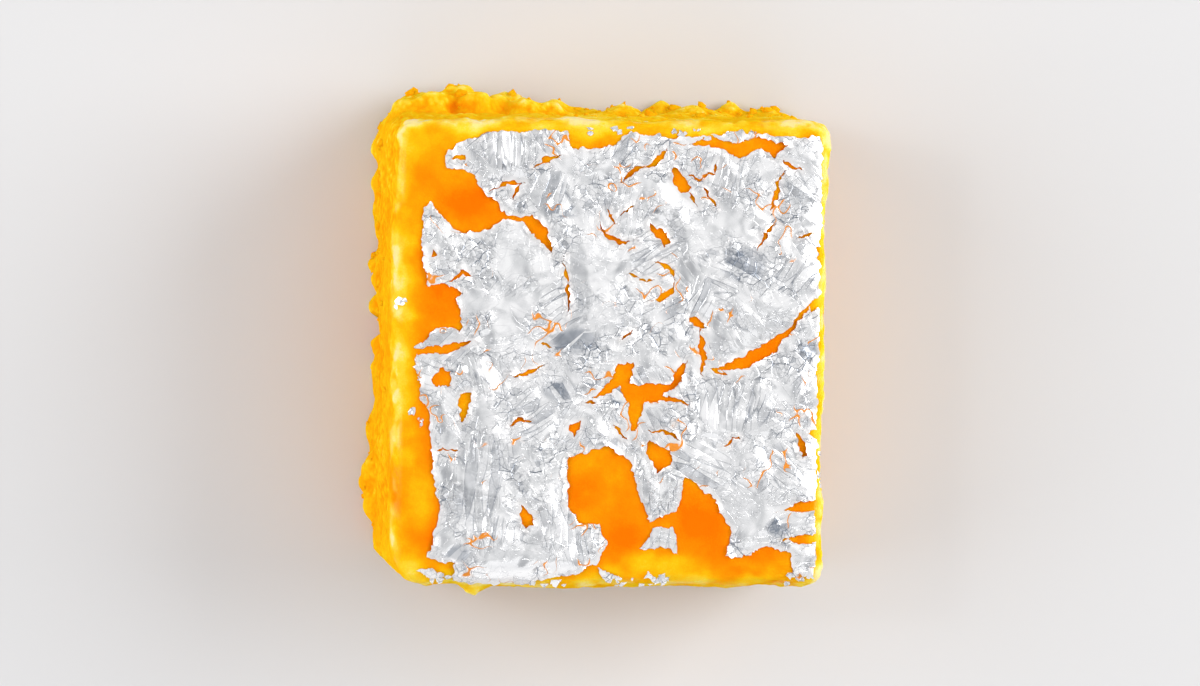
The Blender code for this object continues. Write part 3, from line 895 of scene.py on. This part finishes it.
fudgeLook = {
    "steady": {"Subsurface Weight": 0.45, "Subsurface Radius": (1.0, 0.42, 0.10),
               "Subsurface Scale": 1.4 * mm, "IOR": 1.45, "Specular IOR Level": 0.0,
               "Coat Roughness": 0.18, "Coat IOR": 1.8},
    "crumb": {"Subsurface Scale": 0.3 * mm},     # less, so that thin crumbs don't lose their red
    # From deep orange to pale yellow
    "tones": ((0.0, (0.88, 0.17, 0.001)), (0.25, (0.89, 0.25, 0.002)),
              (0.46, (0.90, 0.35, 0.003)), (0.66, (0.90, 0.49, 0.006)),
              (0.84, (0.91, 0.63, 0.04)), (1.0, (0.92, 0.72, 0.24))),
    "tone": 0.28,                        # where a plain place lies in them
    # rim adds painted light, glint a painted highlight, and patch holds painted shade in the
    # hollows
    "adds": {"patch": 0.85, "rim": 0.46, "side": 0.28, "speck": 0.35, "glint": 0.26},
    "mottle": 4.5 * mm,                  # spacings of the patterns
    "speck": 1.9 * mm,
    "shine": 2.4 * mm,
    "grain": 0.42 * mm,
    "fine": 0.175 * mm,
    "roughness": 0.42,
    "bump": (0.6, 0.10 * mm),            # (strength, height)
}


def makeFudgeMaterial(name, changes):
    material, wire, shader = newMaterial(name, {**fudgeLook["steady"], **changes})
    place = wire.node("TexCoord", output="Object")
    mottle = noiseAt(place, fudgeLook["mottle"], 3.0)
    fine = noiseAt(place, fudgeLook["fine"], 3.0)
    shine = noiseAt(place, fudgeLook["shine"], 2.0)
    grain = wire.node("TexVoronoi", None, {"Vector": place, "Scale": 1 / fudgeLook["grain"]})
    flaw = wire.node("TexVoronoi", None, {"Vector": place, "Scale": 1 / fudgeLook["speck"]})
    relief, rim, side, deep, ridge = painted(wire, "relief", "rim", "side", "deep", "ridge")
    speck = ((0.17 - flaw) * 12).clamped() * (0.25 + 0.4 * side) * mottle.between(0.45, 0.60)
    # Random tone, with painted shade in the hollows and painted light on raised places, and deeper
    # orange in the listed spots
    patch = 1.2 * (mottle - 0.5) + 0.20 * relief + 0.24 * (fine - 0.5) - 0.26 * deep
    # A painted highlight along the top's corner, where the coat shines too
    glint = ridge * shine.between(0.42, 0.64)
    adds = fudgeLook["adds"]
    tone = fudgeLook["tone"] + (adds["patch"] - 0.45 * side) * patch
    tone = tone + adds["rim"] * rim + adds["side"] * side
    tone = tone + adds["speck"] * speck + adds["glint"] * glint
    # More painted shade in the hollows of the sides and painted light on their raised places;
    # darker between the grains
    tone = tone + 0.15 * side * relief - (0.04 + 0.14 * side) * grain
    colour = tone.node("ValToRGB", {"stops": fudgeLook["tones"]}, {0: tone})
    feed(shader, "Base Color", colour)
    feed(shader, "Roughness", fudgeLook["roughness"] + 0.22 * (mottle - 0.5) + 0.15 * (fine - 0.5))
    feed(shader, "Coat Weight", (0.7 * glint * (1 - side)).clamped())
    height = (1 + 0.7 * side) * (0.5 * fine - (0.15 + 0.6 * side) * grain)
    feed(shader, "Normal", bumped(height, *fudgeLook["bump"]))
    return material


silverLook = {
    "steady": {"IOR": 1.5},
    "bright": (0.94, 0.94, 0.945, 1),
    "dull": (0.26, 0.29, 0.34, 1),
    "fudgeReflection": (0.97, 0.86, 0.78, 1),       # painted reflection of the orange fudge, on the leaf near its edge
    # Painted shade in the silver's colour, for darker reflections: in the dull places, along
    # creases and on some shards
    "darkening": {"dull": 0.70, "crease": 0.9, "dusk": 0.38},
    "roughness": 0.21,
    "roughening": {"cloud": 0.16, "dull": 0.10, "edge": 0.20, "crack": 0.3},
    "cloud": 2.6 * mm,                   # how far apart the crumpled places are
    "pleatShards": (0.68, 5.0),          # (width, length) in mm
    "crumpleShards": (1.15, 1.15),
    "fineShards": (0.42, 0.42),
    "shardBend": (2.0 * mm, 0.5 * mm),   # of the shards' borders: (spacing, reach)
    "creaseWidth": 0.04,                 # on each side of a border, in mm
    "bump": (1.0, 0.15 * mm),            # (strength, height)
    # The fudge seen through a hairline crack, darker than the fudge itself as painted shade in the
    # crack
    "crackColour": (0.74, 0.24, 0.010, 1),
    "glowColour": (1.0, 0.84, 0.74, 1),  # painted glow beside a crack: the orange fudge reflected in the leaf
    "crack": (0.017, 190),               # (width, sharpness)
    "glow": (0.06, 20),
    "crackBend": (1.3 * mm, 0.6 * mm),
    "crackSpacing": 2.1 * mm,
    "crackPatch": 3.1 * mm,              # how far apart the cracked places are
}


# Flat shards: their height, with a tilt of its own for each, a line along their borders, and
# an even random tone for each
def shards(place, size, unit):
    width, length = size
    scale = (1 / (width * unit), 1 / (length * unit), 1 / (width * unit))
    scaled = place.node("Mapping", None, {"Vector": place, "Scale": scale})
    cell = scaled.node("TexVoronoi", None, {"Vector": scaled, "Scale": 1.0})
    offset = cell.vector("SUBTRACT", scaled, cell.other("Position"))
    tilt = cell.vector("SUBTRACT", cell.other("Color"), (0.5, 0.5, 0.5))
    height = cell.vector("DOT_PRODUCT", offset, tilt, "Value")
    settings = {"feature": "DISTANCE_TO_EDGE"}
    away = scaled.node("TexVoronoi", settings, {"Vector": scaled, "Scale": 1.0})
    line = (1 - away * (width / silverLook["creaseWidth"])).clamped()
    tone = cell.node("SeparateColor", None, {0: cell.other("Color")}, "Blue")
    return height, line, tone


def bentBy(place, spacing, reach):
    stray = place.node("TexNoise", None, {"Vector": place, "Scale": 1 / spacing, "Detail": 1.0}, 1)
    shift = stray.node("VectorMath", {"operation": "SCALE"}, {0: stray, "Scale": reach})
    return shift.vector("ADD", shift, place)


# Hairline cracks along a bent noise, only in some places, and the painted warm glow beside them
def crackMasks(place, allowed):
    vein = noiseAt(bentBy(place, *silverLook["crackBend"]), silverLook["crackSpacing"], 1.0)
    where = noiseAt(place, silverLook["crackPatch"], 1.0)
    away = vein.maths("ABSOLUTE", vein - 0.5)
    here = where.between(0.55, 0.67) * allowed
    return [((width * here - away) * sharpness).clamped()
            for width, sharpness in (silverLook["crack"], silverLook["glow"])]


def makeSilverMaterial():
    material, wire, shader = newMaterial("beatenSilver", silverLook["steady"])
    place = wire.node("TexCoord", output="Object")
    cloud = noiseAt(place, silverLook["cloud"], 3.0)
    pleats = wire.node("UVMap", {"uv_map": "pleats"})
    bent = bentBy(place, *silverLook["shardBend"])
    pleatTilt, pleatLine, pleatTone = shards(pleats, silverLook["pleatShards"], 1)
    crumpleTilt, crumpleLine, _ = shards(bent, silverLook["crumpleShards"], mm)
    fineTilt, fineLine, fineTone = shards(bent, silverLook["fineShards"], mm)
    dull, edge, pleated, plain = painted(wire, "dull", "edge", "pleated", "plain")
    rough = cloud.between(0.42, 0.56) * (1 - 0.85 * plain)
    # Painted shade along the creases, and darker painted reflections on some shards
    lines = 0.8 * pleated * pleatLine + (1 - pleated) * rough * (crumpleLine + 0.5 * fineLine)
    duskyPleats = pleated * pleatTone.between(0.78, 0.95)
    dusky = duskyPleats + (1 - pleated) * rough * fineTone.between(0.86, 0.96)
    darkening = silverLook["darkening"]
    grey = darkening["dull"] * dull * pleatTone.between(0.1, 0.6)
    creased = darkening["crease"] * lines * cloud.between(0.30, 0.62)
    shade = grey + creased + darkening["dusk"] * dusky
    base = shade.clamped().mixed(silverLook["bright"], silverLook["dull"])
    crack, glow = crackMasks(place, 1 - plain)
    # The leaf near its edge is painted with a warm reflection of the fudge
    withFudgeReflection = (0.5 * edge * cloud).clamped().mixed(base, silverLook["fudgeReflection"], "MULTIPLY")
    warmed = (0.7 * glow).mixed(withFudgeReflection, silverLook["glowColour"], "MULTIPLY")
    feed(shader, "Base Color", crack.mixed(warmed, silverLook["crackColour"]))
    feed(shader, "Metallic", 1 - crack)
    more = silverLook["roughening"]
    roughness = silverLook["roughness"] + more["cloud"] * (cloud - 0.5) + more["dull"] * dull
    feed(shader, "Roughness", roughness + more["edge"] * edge + more["crack"] * crack)
    inPleats = pleated * (1.35 * pleatTilt - 0.08 * pleatLine)
    crumples = 1.8 * crumpleTilt + 0.5 * fineTilt - 0.10 * crumpleLine
    inCrumples = (1 - 0.7 * pleated) * rough * crumples
    height = inPleats + inCrumples - 0.2 * crack
    feed(shader, "Normal", bumped(height, *silverLook["bump"]))
    return material


# The studio

studio = {
    "floorSize": 6.0,
    "floorRoughness": 0.55,
    "floorCloud": 1 / 9,
    "floorTones": ((0.615, 0.615, 0.620, 1), (0.645, 0.645, 0.650, 1)),
    # The surroundings brighten from the floor's rim to overhead, and more to the back right
    "brightWay": (0.20, 0.09, 0.75),
    "surroundings": ((0.0, (0.52, 0.52, 0.53)), (0.32, (0.54, 0.54, 0.55)),
                     (0.48, (0.37, 0.38, 0.40)), (0.60, (0.47, 0.48, 0.50)),
                     (0.70, (0.70, 0.71, 0.72)), (0.762, (0.90, 0.90, 0.91)),
                     (0.79, (1.03, 1.03, 1.03))),
    # Place, size, power and colour of each soft light; they all face the block
    "lights": {
        "rightKey": ((0.62, 0.21, 0.40), 0.60, 4.9, (1.0, 0.99, 0.98)),
        "leftFill": ((-0.62, 0.06, 0.38), 0.66, 3.1, (1.0, 0.99, 0.98)),
        "frontFill": ((0.05, -0.70, 0.50), 1.00, 1.3, (1.0, 0.99, 0.98)),
        "glint": ((-0.42, 0.12, 0.56), 0.07, 0.25, (1.0, 1.0, 1.0)),
    },
}

view = {
    "distance": 0.84,
    "leanLeft": 6.8,                     # degrees off the top's normal, so that the left side shows
    "leanBack": 3.6,                     # and the back side
    "roll": 0.9,                         # degrees
    "lens": 280,
    "aim": Vector((-0.4, 0.2, 17.0)) * mm,
}


def makeFloorMaterial():
    material, wire, shader = newMaterial("paleFloor", {"Roughness": studio["floorRoughness"]})
    place = wire.node("TexCoord", output="Object")
    cloud = noiseAt(place, studio["floorCloud"], 2.0)
    feed(shader, "Base Color", cloud.mixed(*studio["floorTones"]))
    return material


def makeStudio():
    bm = bmesh.new()
    bmesh.ops.create_grid(bm, x_segments=8, y_segments=8, size=studio["floorSize"] / 2)
    floor = newObject("floor", bm)
    floor.data.materials.append(makeFloorMaterial())
    world = bpy.data.worlds.new("studio")
    world.use_nodes = True
    wire = Wire(world.node_tree)
    way = wire.node("TexCoord", output="Generated")
    toward = way.vector("DOT_PRODUCT", way, studio["brightWay"], "Value")
    glow = toward.node("ValToRGB", {"stops": studio["surroundings"]}, {0: toward})
    feed(world.node_tree.nodes["Background"], "Color", glow)
    bpy.context.scene.world = world
    for name, (place, size, power, colour) in studio["lights"].items():
        data = bpy.data.lights.new(name, "AREA")
        data.shape = "DISK"
        data.size = size
        data.energy = power
        data.color = colour
        light = bpy.data.objects.new(name, data)
        light.location = place
        light.rotation_euler = Vector(place).to_track_quat("Z", "Y").to_euler()
        light.visible_camera = False
        bpy.context.scene.collection.objects.link(light)
    settings = bpy.context.scene.view_settings
    settings.view_transform = "Standard"
    settings.look = "None"


def makeCamera():
    data = bpy.data.cameras.new("camera")
    data.lens = view["lens"]
    data.sensor_width = 36
    data.clip_start = 0.05
    data.clip_end = 20
    camera = bpy.data.objects.new("camera", data)
    left, behind = (math.tan(math.radians(view[lean])) for lean in ("leanLeft", "leanBack"))
    back = Vector((-left, behind, 1)).normalized()
    right = Vector((0, 1, 0)).cross(back).normalized()
    up = back.cross(right)
    axes = Matrix((right, up, back)).transposed()
    turn = Matrix.Rotation(math.radians(view["roll"]), 3, back)
    camera.rotation_mode = "QUATERNION"
    camera.rotation_quaternion = (turn @ axes).to_quaternion()
    camera.location = view["aim"] + back * view["distance"]
    bpy.context.scene.collection.objects.link(camera)
    bpy.context.scene.camera = camera


# Putting it together

def dress(made, material, nodes=()):
    made.data.materials.clear()
    made.data.materials.append(material)
    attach(made, "root")
    if nodes:
        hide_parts(*nodes)


makeStudio()
makeCamera()
print("studio and camera ready")

fudge = makeFudgeMaterial("saffronFudge", {})
fudgeCrumb = makeFudgeMaterial("saffronCrumb", fudgeLook["crumb"])
silver = makeSilverMaterial()

blockObject, blockTree = makeBlock()
dress(blockObject, fudge, ["barfi_block"])
print("block ready,", len(blockObject.data.polygons), "faces")

crumbObject = makeCrumbs(blockObject)
dress(crumbObject, fudgeCrumb)
print("crumbs ready,", len(crumbObject.data.polygons), "faces")

for node, sheet in makeLeaf(blockTree).items():
    dress(sheet, silver, [node])
print("silver leaf ready")

dress(makeFlecks(blockTree), silver)
print("flecks ready")
